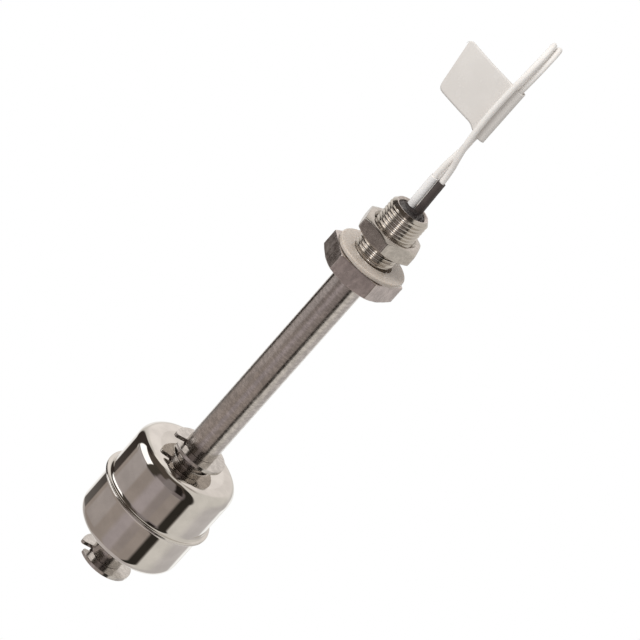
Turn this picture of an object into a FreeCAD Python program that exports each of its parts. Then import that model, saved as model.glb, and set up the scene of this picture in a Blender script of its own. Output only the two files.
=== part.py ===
"""Vertical float level switch: a stainless stem with a sliding magnet float, a hex fitting with
a threaded neck, a sealing ring, a lock nut and two flying leads.

Millimetres, +Z up along the stem towards the leads. The origin is on the stem's axis in the plane
where the tank wall bears on the sealing ring. The float hangs below, the leads leave at the top.
"""
import FreeCAD
import Part
import math
import os

V = FreeCAD.Vector
UP = V(0, 0, 1)
beyond = 1.0                    # how far a cutting shape runs past what it cuts

# --- fitting: hex flange and threaded neck, turned from hex bar -------------------------------
hex_across_flats = 17.0
hex_height = 4.9
hex_chamfer_angle = 24.0        # cone that rounds the corners off on the underside
hex_face_ratio = 0.985          # diameter of the flat ring on the underside, over the flats
thread_diameter = 9.95          # over the crests, 1/8 inch straight pipe thread
thread_length = 15.45           # from the flange's top face
thread_lead_in = 0.8            # radial size of the chamfer at the end
thread_lead_in_height = 0.95
neck_bore = 7.0
neck_mouth_chamfer = 0.35       # radial, at the rim of the bore
stem_socket_depth = 4.0         # how far the stem goes up into the hex

# --- sealing ring -----------------------------------------------------------------------------
seal_outer = 17.5
seal_bore_clearance = 0.3       # radial, round the thread
seal_thickness = 1.15
seal_edge_radius = 0.2
seal_shift = 0.25               # the loose ring lies this far to +X

# --- lock nut ---------------------------------------------------------------------------------
nut_across_flats = 13.8
nut_height = 4.1
nut_chamfer_angle = 30.0
nut_face_ratio = 0.95           # diameter of the flat ring on each face, over the flats
nut_thread_clearance = 0.05     # radial running fit on the crests
nut_countersink = 0.45
nut_grip = 4.1                  # free space between sealing ring and nut
nut_turn = 35.5                 # angle of one corner from +X

# --- stem -------------------------------------------------------------------------------------
stem_diameter = 8.0
stem_wall = 1.0
stem_length = 97.5              # from the flange's underside to the closed end
stem_end_chamfer = 0.3
end_plug_thickness = 1.6

# --- retaining clips in grooves of the stem ---------------------------------------------------
clip_outer = 13.8
clip_thickness = 0.95
clip_slot = 2.6
clip_slot_angle = 207.0         # direction of the open side from +X
clip_tip_radius = 0.8
clip_groove_depth = 0.4
clip_bore_clearance = 0.03      # radial, in the groove
clip_groove_play = 0.05         # axial, each side
clip_end_margin = 1.8           # stem's closed end to the lower clip's underside

# --- float ------------------------------------------------------------------------------------
float_diameter = 26.6
float_height = 26.7
float_wall = 0.3
float_edge_radius = 3.1
float_bore_clearance = 0.75     # radial, round the stem
float_tube_wall = 0.3
seam_lip = 1.2                  # how far the seam's lip stands out at mid-height
seam_half_thickness = 0.4       # of the lip, each side of mid-height
seam_fillet = 0.6               # where the lip leaves the cup's wall
float_play_above = 2.25         # rest gap under the upper clip
float_play_below = 7.1          # rest gap over the lower clip

magnet_outer = 14.0
magnet_height = 6.0
magnet_clearance = 0.15         # radial, round the float's tube
spacer_wall = 0.6
seat_gap = 0.05                 # between loose pieces stacked inside the float

# --- reed switch inside the stem --------------------------------------------------------------
reed_glass_diameter = 2.2
reed_glass_length = 14.0
reed_glass_wall = 0.35
reed_glass_end = 2.0            # solid glass at each end
reed_glass_end_radius = 0.65
reed_blade_width = 1.2
reed_blade_thickness = 0.3
reed_blade_overlap = 1.0
reed_contact_gap = 0.06
reed_pin_diameter = 0.5
reed_pin_length = 4.0           # outside the glass
reed_link_drop = 1.2            # how far the link between the pins dips below them
contact_below_float_top = 9.0   # reed's contact, below the resting float's top
reed_sleeve_wall = 0.25
reed_sleeve_overhang = 0.5      # past each end of the glass
reed_bore_gap = 0.6             # between the reed's sleeve and the stem's bore, on the +X side
return_bore_gap = 0.7           # between the return lead and the stem's bore, on the -X side
resin_gap = 0.02                # all round, between resin or sealant and what it holds
resin_above_reed = 4.0

# --- leads ------------------------------------------------------------------------------------
lead_diameter = 1.4
conductor_diameter = 0.8
bare_tip_length = 6.0
sleeve_lead_clearance = 0.05    # radial
sleeve_wall = 0.25
sleeve_depth = 4.5              # below the neck's rim
sleeve_height = 8.4             # above the neck's rim
lead_start_in_sleeve = 1.0      # where the free lead starts, below the sleeve's mouth
lead_straight_out = 2.8         # straight run of the free lead above the sleeve's mouth
sealant_below_rim = 0.55
sealant_depth = 11.5
sealant_heap = 0.45             # height of the sealant drawn up round each sleeve
sealant_heap_spread = 0.9       # how far the heap spreads round the sleeve at its foot
sealant_heap_lip = 0.1          # and at its top

# Each sleeve leans a little: its axis at the neck's rim, and how far it has moved at its mouth.
white_sleeve_foot = (-1.0, 1.95)
white_sleeve_lean = (-0.18, 0.1)
black_sleeve_lean = (-0.29, 0.1)
sleeve_foot_gap = 0.15          # between the two sleeves at the rim

# --- flag label round the white-sleeved lead --------------------------------------------------
label_thickness = 0.15          # one ply; the flag is two plies stuck together
label_lead_gap = 0.12           # between label and lead, front and back
label_low = 35.2
label_high = 49.2
label_fold_left = -0.35         # the flat loop round the lead: centres of its two round ends
label_fold_right = 0.6
label_fold_back = 2.6           # depth of the loop behind the stem's axis
label_reach = 15.0              # from the stem's axis to the flag's far edge
label_far_edge_slant = 1.6
label_corner_radius = 1.2
label_flag_rise = 1.2           # the flag's lower edge over the loop's lower end
label_neck_share = 0.25         # where the lower edge starts to drop to the loop, of the reach
label_lean = 4.6                # how far back the far edge stands
label_bow = 0.5                 # how far the flag bows forward of a flat sheet

# --- derived levels and radii -----------------------------------------------------------------
flange_top = -seal_thickness
flange_under = flange_top - hex_height
neck_rim = flange_top + thread_length
nut_low = nut_grip
stem_end = flange_under - stem_length
stem_top = flange_under + stem_socket_depth
lower_clip_top = stem_end + clip_end_margin + clip_thickness
float_bottom = lower_clip_top + float_play_below
float_top = float_bottom + float_height
float_middle = (float_top + float_bottom) / 2
upper_clip_top = float_top + float_play_above + clip_thickness
stem_radius = stem_diameter / 2
bore_radius = stem_radius - stem_wall
thread_radius = thread_diameter / 2
neck_bore_radius = neck_bore / 2
lead_radius = lead_diameter / 2
sleeve_bore_radius = lead_radius + sleeve_lead_clearance
sleeve_radius = sleeve_bore_radius + sleeve_wall
sleeve_top = neck_rim + sleeve_height
sleeve_bottom = neck_rim - sleeve_depth
black_sleeve_foot = (white_sleeve_foot[0] + 2 * sleeve_radius + sleeve_foot_gap, white_sleeve_foot[1])
float_radius = float_diameter / 2
tube_inner = stem_radius + float_bore_clearance
tube_outer = tube_inner + float_tube_wall
contact_level = float_top - contact_below_float_top
glass_top = contact_level + reed_glass_length / 2
glass_bottom = contact_level - reed_glass_length / 2
pin_top = glass_top + reed_pin_length
pin_bottom = glass_bottom - reed_pin_length
reed_sleeve_bore = reed_glass_diameter / 2 + resin_gap
reed_x = bore_radius - reed_bore_gap - reed_sleeve_wall - reed_sleeve_bore
return_x = return_bore_gap + lead_radius - bore_radius


def sleeve_point(foot, lean, z):
    """Point at height z on a sleeve's straight axis, or on that line past its ends."""
    share = (z - neck_rim) / sleeve_height
    return V(foot[0] + lean[0] * share, foot[1] + lean[1] * share, z)


# Free leads, each a list of route points from inside its sleeve to the end of its insulation.
# They stand up out of the sleeves and cross, run side by side, bend over backwards and hang down
# behind the stem.
white_lead_route = [
    sleeve_point(white_sleeve_foot, white_sleeve_lean, sleeve_top - lead_start_in_sleeve),
    sleeve_point(white_sleeve_foot, white_sleeve_lean, sleeve_top + lead_straight_out),
    V(-0.62, 2.90, 30.5),
    V(-0.35, 2.66, 35.2),
    V(0.00, 2.56, 40.6),
    V(0.38, 2.62, 46.8),
    V(0.80, 2.45, 53.8),
    V(1.00, 7.40, 59.0),
    V(0.90, 14.80, 59.0),
    V(0.50, 20.00, 53.8),
    V(0.00, 20.10, 44.0),
    V(-0.45, 19.90, 30.0),
    V(-0.50, 20.05, 13.0),
    V(-0.20, 19.80, -5.0),
    V(-0.10, 19.95, -25.0),
    V(-0.30, 19.70, -45.0),
    V(-0.10, 19.85, -63.0),
    V(-0.20, 19.60, -80.0),
    V(-0.15, 19.70, -94.0),
]
black_lead_route = [
    sleeve_point(black_sleeve_foot, black_sleeve_lean, sleeve_top - lead_start_in_sleeve),
    sleeve_point(black_sleeve_foot, black_sleeve_lean, sleeve_top + lead_straight_out),
    V(-0.25, 1.08, 30.5),
    V(-0.92, 0.82, 35.5),
    V(-1.20, 0.86, 41.3),
    V(-1.12, 0.98, 47.6),
    V(-0.75, 1.20, 54.6),
    V(-0.55, 6.10, 59.5),
    V(-0.60, 13.10, 59.5),
    V(-0.60, 18.00, 54.6),
    V(-0.50, 18.10, 45.0),
    V(-0.40, 17.95, 31.0),
    V(-0.50, 18.15, 14.0),
    V(-0.20, 17.90, -4.0),
    V(-0.15, 18.05, -24.0),
    V(-0.25, 17.85, -44.0),
    V(-0.10, 17.95, -62.0),
    V(-0.15, 17.70, -79.0),
    V(-0.20, 17.80, -94.0),
]


def ring(outer, inner, low, high):
    """Plain ring about the stem's axis."""
    hole = Part.makeCylinder(inner, high - low + 2 * beyond, V(0, 0, low - beyond))
    return Part.makeCylinder(outer, high - low, V(0, 0, low)).cut(hole)


def revolve(points):
    """Solid of revolution about Z from a closed outline of (radius, height) points."""
    outline = [V(radius, 0, height) for radius, height in points]
    return Part.Face(Part.makePolygon(outline + outline[:1])).revolve(V(0, 0, 0), UP, 360)


def hex_prism(across_flats, low, high, corner_angle):
    corner = across_flats / 2 / math.cos(math.radians(30))
    points = []
    for i in range(7):
        turn = math.radians(corner_angle + 60 * i)
        points.append(V(corner * math.cos(turn), corner * math.sin(turn), low))
    return Part.Face(Part.makePolygon(points)).extrude(V(0, 0, high - low))


def corner_blank(face_radius, angle, low, high, both_faces):
    """Turned blank whose cone rounds off a hex's corners at its lower face, or at both faces."""
    height = high - low
    wide = face_radius + height / math.tan(math.radians(angle))
    blank = Part.makeCone(face_radius, wide, height, V(0, 0, low))
    if both_faces:
        blank = blank.common(Part.makeCone(wide, face_radius, height, V(0, 0, low)))
    return blank


def rod(start, end, radius):
    run = end - start
    return Part.makeCylinder(radius, run.Length, start, run)


def round_edges(body):
    """The edges that are whole circles."""
    return [edge for edge in body.Edges if edge.Closed and len(edge.Vertexes) == 1]


def tube_path(points):
    """Straight runs joined by tangent arcs. Returns the wire and the arcs' radii."""
    edges = []
    radii = []
    last = points[0]
    for before, corner, after in zip(points, points[1:], points[2:]):
        back = (before - corner).normalize()
        ahead = (after - corner).normalize()
        turn = math.pi - back.getAngle(ahead)
        short = min((before - corner).Length, (after - corner).Length)
        setback = 0.45 * short
        start = corner + back * setback
        end = corner + ahead * setback
        radius = setback / math.tan(turn / 2)
        bisector = (back + ahead).normalize()
        centre = corner + bisector * math.hypot(radius, setback)
        middle = centre - bisector * radius
        edges.append(Part.LineSegment(last, start).toShape())
        edges.append(Part.Arc(start, middle, end).toShape())
        radii.append(radius)
        last = end
    edges.append(Part.LineSegment(last, points[-1]).toShape())
    return Part.Wire(edges), radii


def cord(name, points, radius):
    """Round cord along a route, with its length and bend radii printed."""
    path, radii = tube_path(points)
    first = (points[1] - points[0]).normalize()
    section = Part.Wire(Part.Circle(points[0], first, radius).toShape())
    solid = path.makePipeShell([section], True, False)
    expected = math.pi * radius * radius * path.Length
    print(name, "length", round(path.Length, 1), "radii", [round(r, 1) for r in radii],
          "volume share", round(solid.Volume / expected, 4))
    return solid


def fitting_body():
    """Hex flange with the threaded neck; the stem's socket below, the leads' bore above."""
    face = hex_across_flats / 2 * hex_face_ratio
    blank = corner_blank(face, hex_chamfer_angle, flange_under, flange_top, False)
    flange = hex_prism(hex_across_flats, flange_under, flange_top, 0).common(blank)
    neck = revolve([
        (0, flange_top - beyond),
        (thread_radius, flange_top - beyond),
        (thread_radius, neck_rim - thread_lead_in_height),
        (thread_radius - thread_lead_in, neck_rim),
        (0, neck_rim),
    ])
    bore = revolve([
        (0, flange_under - beyond),
        (stem_radius, flange_under - beyond),
        (stem_radius, stem_top),
        (neck_bore_radius, stem_top),
        (neck_bore_radius, neck_rim - neck_mouth_chamfer),
        (neck_bore_radius + neck_mouth_chamfer + beyond, neck_rim + beyond),
        (0, neck_rim + beyond),
    ])
    return flange.fuse(neck).cut(bore).removeSplitter()


def stem_tube():
    tube = ring(stem_radius, bore_radius, stem_end, stem_top)
    corner = revolve([
        (stem_radius - stem_end_chamfer - beyond, stem_end - beyond),
        (stem_radius + beyond, stem_end - beyond),
        (stem_radius + beyond, stem_end + stem_end_chamfer + beyond),
    ])
    tube = tube.cut(corner)
    for top in (upper_clip_top, lower_clip_top):
        low = top - clip_thickness - clip_groove_play
        high = top + clip_groove_play
        tube = tube.cut(ring(stem_radius + beyond, stem_radius - clip_groove_depth, low, high))
    return tube


def stem_end_plug():
    return Part.makeCylinder(bore_radius, end_plug_thickness, V(0, 0, stem_end))


def clip_tip_edges(plate):
    """The two upright edges where the clip's outer rim meets its open side."""
    turn = math.radians(clip_slot_angle)
    open_side = V(math.cos(turn), math.sin(turn), 0)
    tips = []
    for edge in plate.Edges:
        box = edge.BoundBox
        upright = box.ZLength > clip_thickness / 2 and box.XLength + box.YLength < clip_thickness / 10
        place = edge.CenterOfMass
        outside = math.hypot(place.x, place.y) > (clip_outer / 2 + stem_radius) / 2
        if upright and outside and place.dot(open_side) > 0:
            tips.append(edge)
    return tips


def retaining_clip(top):
    """Flat spring-steel ring with one open side and rounded tips, snapped into the groove."""
    inner = stem_radius - clip_groove_depth + clip_bore_clearance
    low = top - clip_thickness
    plate = ring(clip_outer / 2, inner, low, top)
    slot_height = clip_thickness + 2 * beyond
    slot = Part.makeBox(clip_outer, clip_slot, slot_height, V(0, -clip_slot / 2, low - beyond))
    slot.rotate(V(0, 0, 0), UP, clip_slot_angle)
    plate = plate.cut(slot)
    return plate.makeFillet(clip_tip_radius, clip_tip_edges(plate))


def sealing_ring():
    hole_radius = thread_radius + seal_bore_clearance
    body = ring(seal_outer / 2, hole_radius, flange_top, 0)
    rim_edges = [edge for edge in round_edges(body) if edge.Curve.Radius > hole_radius + seal_edge_radius]
    body = body.makeFillet(seal_edge_radius, rim_edges)
    body.translate(V(seal_shift, 0, 0))
    return body


def lock_nut():
    high = nut_low + nut_height
    face = nut_across_flats / 2 * nut_face_ratio
    blank = corner_blank(face, nut_chamfer_angle, nut_low, high, True)
    body = hex_prism(nut_across_flats, nut_low, high, nut_turn).common(blank)
    bore = thread_radius + nut_thread_clearance
    wide = bore + nut_countersink + beyond
    hole = revolve([
        (0, nut_low - beyond),
        (wide, nut_low - beyond),
        (bore, nut_low + nut_countersink),
        (bore, high - nut_countersink),
        (wide, high + beyond),
        (0, high + beyond),
    ])
    return body.cut(hole)


def shell_profile(radius, edge_radius, height, seam):
    """Outline of one face of a drawn cup, from its hole out to its rim, in the XZ plane.

    The cup's floor is at z = height and its rim at z = 0. seam is how far the rim's lip stands
    out, or 0 for the inside of the cup. Returns the edges and the outline's last point.
    """
    start = V(tube_outer, 0, height)
    turn_start = V(radius - edge_radius, 0, height)
    turn_end = V(radius, 0, height - edge_radius)
    inset = edge_radius * (1 - math.cos(math.radians(45)))
    turn_middle = V(radius - inset, 0, height - inset)
    rim = V(radius + seam, 0, 0)
    edges = [
        Part.LineSegment(start, turn_start).toShape(),
        Part.Arc(turn_start, turn_middle, turn_end).toShape(),
    ]
    if seam:
        fillet_inset = seam_fillet * (1 - math.cos(math.radians(45)))
        fillet_start = V(radius, 0, seam_half_thickness + seam_fillet)
        fillet_middle = V(radius + fillet_inset, 0, seam_half_thickness + fillet_inset)
        fillet_end = V(radius + seam_fillet, 0, seam_half_thickness)
        lip_start = V(radius + seam - seam_half_thickness, 0, seam_half_thickness)
        across = seam_half_thickness * math.cos(math.radians(45))
        lip_middle = V(lip_start.x + across, 0, across)
        edges.append(Part.LineSegment(turn_end, fillet_start).toShape())
        edges.append(Part.Arc(fillet_start, fillet_middle, fillet_end).toShape())
        edges.append(Part.LineSegment(fillet_end, lip_start).toShape())
        edges.append(Part.Arc(lip_start, lip_middle, rim).toShape())
    else:
        edges.append(Part.LineSegment(turn_end, rim).toShape())
    return edges, rim


def float_half_shell():
    """Drawn cup with a hole for the float's tube and a round-edged seam lip, rim at z = 0."""
    height = float_height / 2
    inner_height = height - float_wall
    inner_edge_radius = float_edge_radius - float_wall
    outer, outer_rim = shell_profile(float_radius, float_edge_radius, height, seam_lip)
    inner, inner_rim = shell_profile(float_radius - float_wall, inner_edge_radius, inner_height, 0)
    rim = Part.LineSegment(outer_rim, inner_rim).toShape()
    hole = Part.LineSegment(V(tube_outer, 0, height), V(tube_outer, 0, inner_height)).toShape()
    outline = Part.Wire(Part.__sortEdges__(outer + inner + [rim, hole]))
    return Part.Face(outline).revolve(V(0, 0, 0), UP, 360)


def float_upper_shell():
    shell = float_half_shell()
    shell.translate(V(0, 0, float_middle))
    return shell


def float_lower_shell():
    shell = float_half_shell()
    shell.rotate(V(0, 0, 0), V(1, 0, 0), 180)
    shell.translate(V(0, 0, float_middle))
    return shell


def float_tube():
    return ring(tube_outer, tube_inner, float_bottom, float_top)


def float_magnet():
    high = float_top - float_wall - seat_gap
    return ring(magnet_outer / 2, tube_outer + magnet_clearance, high - magnet_height, high)


def magnet_spacer():
    """Plastic sleeve that holds the magnet up against the upper shell."""
    high = float_top - float_wall - magnet_height - 2 * seat_gap
    inner = tube_outer + magnet_clearance
    return ring(inner + spacer_wall, inner, float_bottom + float_wall + seat_gap, high)


def reed_glass():
    """Sealed glass tube with rounded ends, hollow, with a hole at each end for its blade's pin."""
    radius = reed_glass_diameter / 2
    outer = Part.makeCylinder(radius, reed_glass_length, V(reed_x, 0, glass_bottom))
    outer = outer.makeFillet(reed_glass_end_radius, round_edges(outer))
    hollow_low = V(reed_x, 0, glass_bottom + reed_glass_end)
    hollow_high = V(reed_x, 0, glass_top - reed_glass_end)
    hollow = rod(hollow_low, hollow_high, radius - reed_glass_wall)
    pins = rod(V(reed_x, 0, pin_bottom), V(reed_x, 0, pin_top), reed_pin_diameter / 2)
    return outer.cut(hollow).cut(pins)


def reed_blade(side):
    """Flat spring blade with a round pin; side is +1 for the upper blade and -1 for the lower."""
    pin_start = contact_level + side * (reed_glass_length / 2 - reed_glass_end)
    pin_end = pin_top if side > 0 else pin_bottom
    pin = rod(V(reed_x, 0, pin_start), V(reed_x, 0, pin_end), reed_pin_diameter / 2)
    centre = reed_x + side * (reed_contact_gap + reed_blade_thickness) / 2
    near = contact_level - side * reed_blade_overlap / 2
    corner = V(centre - reed_blade_thickness / 2, -reed_blade_width / 2, min(near, pin_start))
    blade = Part.makeBox(reed_blade_thickness, reed_blade_width, abs(pin_start - near), corner)
    return pin.fuse(blade).removeSplitter()


def reed_return_link():
    """Bare wire that carries the lower pin across to the return lead."""
    level = pin_bottom - reed_link_drop
    points = [
        V(reed_x, 0, pin_bottom),
        V(reed_x, 0, level),
        V(return_x, 0, level),
        V(return_x, 0, pin_bottom),
    ]
    return cord("reed_return_link", points, reed_pin_diameter / 2)


def reed_sleeve():
    """Shrunk sleeve round the glass."""
    low = V(reed_x, 0, glass_bottom - reed_sleeve_overhang)
    high = V(reed_x, 0, glass_top + reed_sleeve_overhang)
    past = V(0, 0, beyond)
    bore = rod(low - past, high + past, reed_sleeve_bore)
    return rod(low, high, reed_sleeve_bore + reed_sleeve_wall).cut(bore)


def inner_lead(name, foot, lean, x_in_stem, end_level):
    """The stretch of a lead inside its sleeve, the sealant and the stem, down to the reed."""
    below_sleeve = sleeve_point(foot, lean, sleeve_bottom - lead_diameter * 1.5)
    in_neck = V((below_sleeve.x + x_in_stem) / 2, below_sleeve.y * 0.7, below_sleeve.z - lead_diameter * 3)
    points = [
        sleeve_point(foot, lean, sleeve_top - lead_start_in_sleeve),
        below_sleeve,
        in_neck,
        V(x_in_stem, lead_radius / 2, stem_top - lead_diameter),
        V(x_in_stem, 0, flange_under - stem_diameter),
        V(x_in_stem, 0, end_level),
    ]
    return cord(name, points, lead_radius)


def shrink_sleeve(foot, lean):
    low = sleeve_point(foot, lean, sleeve_bottom)
    high = sleeve_point(foot, lean, sleeve_top)
    past = (high - low).normalize() * beyond
    return rod(low, high, sleeve_radius).cut(rod(low - past, high + past, sleeve_bore_radius))


def sleeve_hull(foot, lean):
    """The whole space of a sleeve and the lead in it."""
    return rod(sleeve_point(foot, lean, sleeve_bottom), sleeve_point(foot, lean, sleeve_top), sleeve_radius)


def glass_hull():
    """The whole space inside the reed's sleeve."""
    low = V(reed_x, 0, glass_bottom - reed_sleeve_overhang)
    high = V(reed_x, 0, glass_top + reed_sleeve_overhang)
    return rod(low, high, reed_sleeve_bore)


def neck_sealant(pieces):
    """Cast plug of sealant in the neck, drawn up round the two sleeves."""
    high = neck_rim - sealant_below_rim
    low = neck_rim - sealant_depth
    radius = neck_bore_radius - resin_gap
    plug = Part.makeCylinder(radius, high - low, V(0, 0, low))
    for foot in (white_sleeve_foot, black_sleeve_foot):
        heap = Part.makeCone(sleeve_radius + sealant_heap_spread, sleeve_radius + sealant_heap_lip,
                             sealant_heap, V(foot[0], foot[1], high))
        plug = plug.fuse(heap)
    plug = plug.common(Part.makeCylinder(radius, thread_length, V(0, 0, low)))
    return cut_channels(plug, pieces)


def reed_resin(pieces):
    """Resin that fills the closed end of the stem round the reed switch."""
    low = stem_end + end_plug_thickness
    high = pin_top + resin_above_reed
    fill = Part.makeCylinder(bore_radius - resin_gap, high - low, V(0, 0, low))
    return cut_channels(fill, pieces)


def cut_channels(body, pieces):
    for piece in pieces:
        body = body.cut(piece)
    return body


def flat_loop(radius, low, high):
    """Upright prism of stadium section, round the lead's place in the label."""
    height = high - low
    corner = V(label_fold_left, label_fold_back - radius, low)
    loop = Part.makeBox(label_fold_right - label_fold_left, 2 * radius, height, corner)
    for x in (label_fold_left, label_fold_right):
        loop = loop.fuse(Part.makeCylinder(radius, height, V(x, label_fold_back, low)))
    return loop


def flag_window():
    """What the flag's outline keeps, seen from the front: a slanted far edge with round corners."""
    low = label_low + label_flag_rise
    far = -label_reach
    right = label_fold_right + beyond
    front = label_fold_back - label_bow - beyond
    outline = [
        V(far, front, label_high),
        V(far + label_far_edge_slant, front, low),
        V(far * label_neck_share, front, low),
        V(label_fold_left, front, label_low),
        V(right, front, label_low),
        V(right, front, label_high),
    ]
    depth = V(0, label_lean + 2 * (label_bow + beyond), 0)
    window = Part.Face(Part.makePolygon(outline + outline[:1])).extrude(depth)
    corners = []
    for edge in window.Edges:
        along_y = edge.BoundBox.YLength > depth.y / 2
        if along_y and edge.BoundBox.XMin < far / 2:
            corners.append(edge)
    return window.makeFillet(label_corner_radius, corners)


def flag_label():
    """Thin sheet folded once round a lead and stuck to itself, so that it stands out as a flag."""
    inner = lead_radius + label_lead_gap
    outer = inner + label_thickness
    front = label_fold_back - label_thickness
    near = V(label_fold_left - inner, front, label_low)
    far = V(-label_reach, front + label_lean, label_low)
    middle = (near + far) / 2 - V(0, label_bow, 0)
    curve = Part.Arc(near, middle, far).toShape()
    sheet = curve.extrude(V(0, 2 * label_thickness, 0)).extrude(V(0, 0, label_high - label_low))
    hole = flat_loop(inner, label_low - beyond, label_high + beyond)
    return sheet.common(flag_window()).fuse(flat_loop(outer, label_low, label_high)).cut(hole)


def bare_tip(route):
    """Tinned conductor that stands out of the end of a lead."""
    run = (route[-1] - route[-2]).normalize()
    return rod(route[-1], route[-1] + run * bare_tip_length, conductor_diameter / 2)


def build():
    white = (white_sleeve_foot, white_sleeve_lean)
    black = (black_sleeve_foot, black_sleeve_lean)
    white_inner = inner_lead("white_inner_lead", *white, return_x, pin_bottom)
    black_inner = inner_lead("black_inner_lead", *black, reed_x, pin_top)
    upper_blade = reed_blade(1)
    lower_blade = reed_blade(-1)
    sleeve = reed_sleeve()
    link = reed_return_link()
    in_resin = [white_inner, black_inner, upper_blade, lower_blade, sleeve, link, glass_hull()]
    in_sealant = [white_inner, black_inner, sleeve_hull(*white), sleeve_hull(*black)]
    return {
        "fitting_body": fitting_body(),
        "sealing_ring": sealing_ring(),
        "lock_nut": lock_nut(),
        "stem_tube": stem_tube(),
        "stem_end_plug": stem_end_plug(),
        "upper_retaining_clip": retaining_clip(upper_clip_top),
        "lower_retaining_clip": retaining_clip(lower_clip_top),
        "float_upper_shell": float_upper_shell(),
        "float_lower_shell": float_lower_shell(),
        "float_tube": float_tube(),
        "float_magnet": float_magnet(),
        "magnet_spacer": magnet_spacer(),
        "reed_glass": reed_glass(),
        "reed_upper_blade": upper_blade,
        "reed_lower_blade": lower_blade,
        "reed_sleeve": sleeve,
        "reed_return_link": link,
        "reed_resin": reed_resin(in_resin),
        "white_inner_lead": white_inner,
        "black_inner_lead": black_inner,
        "neck_sealant": neck_sealant(in_sealant),
        "white_sleeve": shrink_sleeve(*white),
        "black_sleeve": shrink_sleeve(*black),
        "white_lead": cord("white_lead", white_lead_route, lead_radius),
        "black_lead": cord("black_lead", black_lead_route, lead_radius),
        "white_lead_tip": bare_tip(white_lead_route),
        "black_lead_tip": bare_tip(black_lead_route),
        "flag_label": flag_label(),
    }


os.makedirs("parts", exist_ok=True)
for node, shape in build().items():
    shape.exportStep("parts/" + node + ".step")
    print(node, "solids", len(shape.Solids), "valid", shape.isValid(), "volume", round(shape.Volume, 1))
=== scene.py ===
import math
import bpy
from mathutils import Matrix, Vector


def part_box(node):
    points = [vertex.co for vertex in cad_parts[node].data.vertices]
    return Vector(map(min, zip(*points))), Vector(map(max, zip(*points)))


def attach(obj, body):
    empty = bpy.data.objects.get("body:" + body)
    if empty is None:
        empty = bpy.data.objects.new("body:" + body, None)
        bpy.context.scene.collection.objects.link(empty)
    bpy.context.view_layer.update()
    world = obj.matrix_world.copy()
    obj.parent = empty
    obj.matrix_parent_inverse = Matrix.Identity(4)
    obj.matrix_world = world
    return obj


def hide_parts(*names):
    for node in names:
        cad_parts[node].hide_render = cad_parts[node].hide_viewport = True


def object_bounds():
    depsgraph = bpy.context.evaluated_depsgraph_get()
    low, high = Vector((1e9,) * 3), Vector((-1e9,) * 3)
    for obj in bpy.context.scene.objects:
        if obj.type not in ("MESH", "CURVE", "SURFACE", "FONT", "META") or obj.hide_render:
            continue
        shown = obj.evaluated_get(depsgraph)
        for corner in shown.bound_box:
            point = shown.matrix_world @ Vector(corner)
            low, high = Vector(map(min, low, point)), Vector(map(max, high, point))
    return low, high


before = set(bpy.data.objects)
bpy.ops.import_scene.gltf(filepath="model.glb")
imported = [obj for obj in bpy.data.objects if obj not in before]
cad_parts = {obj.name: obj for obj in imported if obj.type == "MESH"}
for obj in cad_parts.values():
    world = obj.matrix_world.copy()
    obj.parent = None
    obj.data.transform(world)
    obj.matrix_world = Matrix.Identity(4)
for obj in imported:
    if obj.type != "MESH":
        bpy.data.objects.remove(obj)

from types import SimpleNamespace

import bmesh
import bpy
import numpy as np
from mathutils import Matrix, Vector, noise

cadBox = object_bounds()
mm = 0.001
scene = bpy.context.scene
scene.view_settings.view_transform = "Standard"


# places read from the frame, all on the stem's axis

def lowOf(node):
    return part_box(node)[0].z


def highOf(node):
    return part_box(node)[1].z


flangeUnder = lowOf("fitting_body")
neckRim = highOf("fitting_body")
flangeTop = lowOf("sealing_ring")
sealTop = highOf("sealing_ring")
stemEnd = lowOf("stem_tube")
stemTop = highOf("stem_tube")
floatTop = highOf("float_tube")
floatBottom = lowOf("float_tube")
floatMiddle = (floatTop + floatBottom) / 2


# camera, at the angle the part is shown from

cameraLook = {
    "target": (0.78 * mm, 0, -19.9 * mm),
    "distance": 663 * mm,
    "tilt": 24.2,          # degrees above the level
    "roll": 41.51,         # degrees, so that the stem runs up to the right
    "lens": 168.75,
    "sensor": 36,
    "nearest": 0.01,       # metres
    "farthest": 20,
}


def makeCamera(look):
    tilt = math.radians(look["tilt"])
    roll = math.radians(look["roll"])
    back = Vector((0, -math.cos(tilt), math.sin(tilt)))
    level = Vector((1, 0, 0))
    rise = Vector((0, math.sin(tilt), math.cos(tilt)))
    right = level * math.cos(roll) + rise * math.sin(roll)
    up = rise * math.cos(roll) - level * math.sin(roll)
    data = bpy.data.cameras.new("camera")
    data.lens = look["lens"]
    data.sensor_width = look["sensor"]
    data.clip_start = look["nearest"]
    data.clip_end = look["farthest"]
    camera = bpy.data.objects.new("camera", data)
    turned = Matrix((right, up, back)).transposed().to_4x4()
    camera.matrix_world = Matrix.Translation(Vector(look["target"]) + back * look["distance"]) @ turned
    scene.collection.objects.link(camera)
    scene.camera = camera


makeCamera(cameraLook)
print("camera placed")


# small helpers for node trees

def mathNode(tree, operation, *values):
    node = tree.nodes.new("ShaderNodeMath")
    node.operation = operation
    for socket, value in zip(node.inputs, values):
        if isinstance(value, (int, float)):
            socket.default_value = value
        else:
            tree.links.new(value, socket)
    return node.outputs[0]


def rampNode(tree, value, fromLow, fromHigh, toLow=0.0, toHigh=1.0, smooth=True):
    node = tree.nodes.new("ShaderNodeMapRange")
    node.interpolation_type = "SMOOTHSTEP" if smooth else "LINEAR"
    for socket, setting in zip(node.inputs, (value, fromLow, fromHigh, toLow, toHigh)):
        if isinstance(setting, (int, float)):
            socket.default_value = setting
        else:
            tree.links.new(setting, socket)
    return node.outputs[0]


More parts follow.
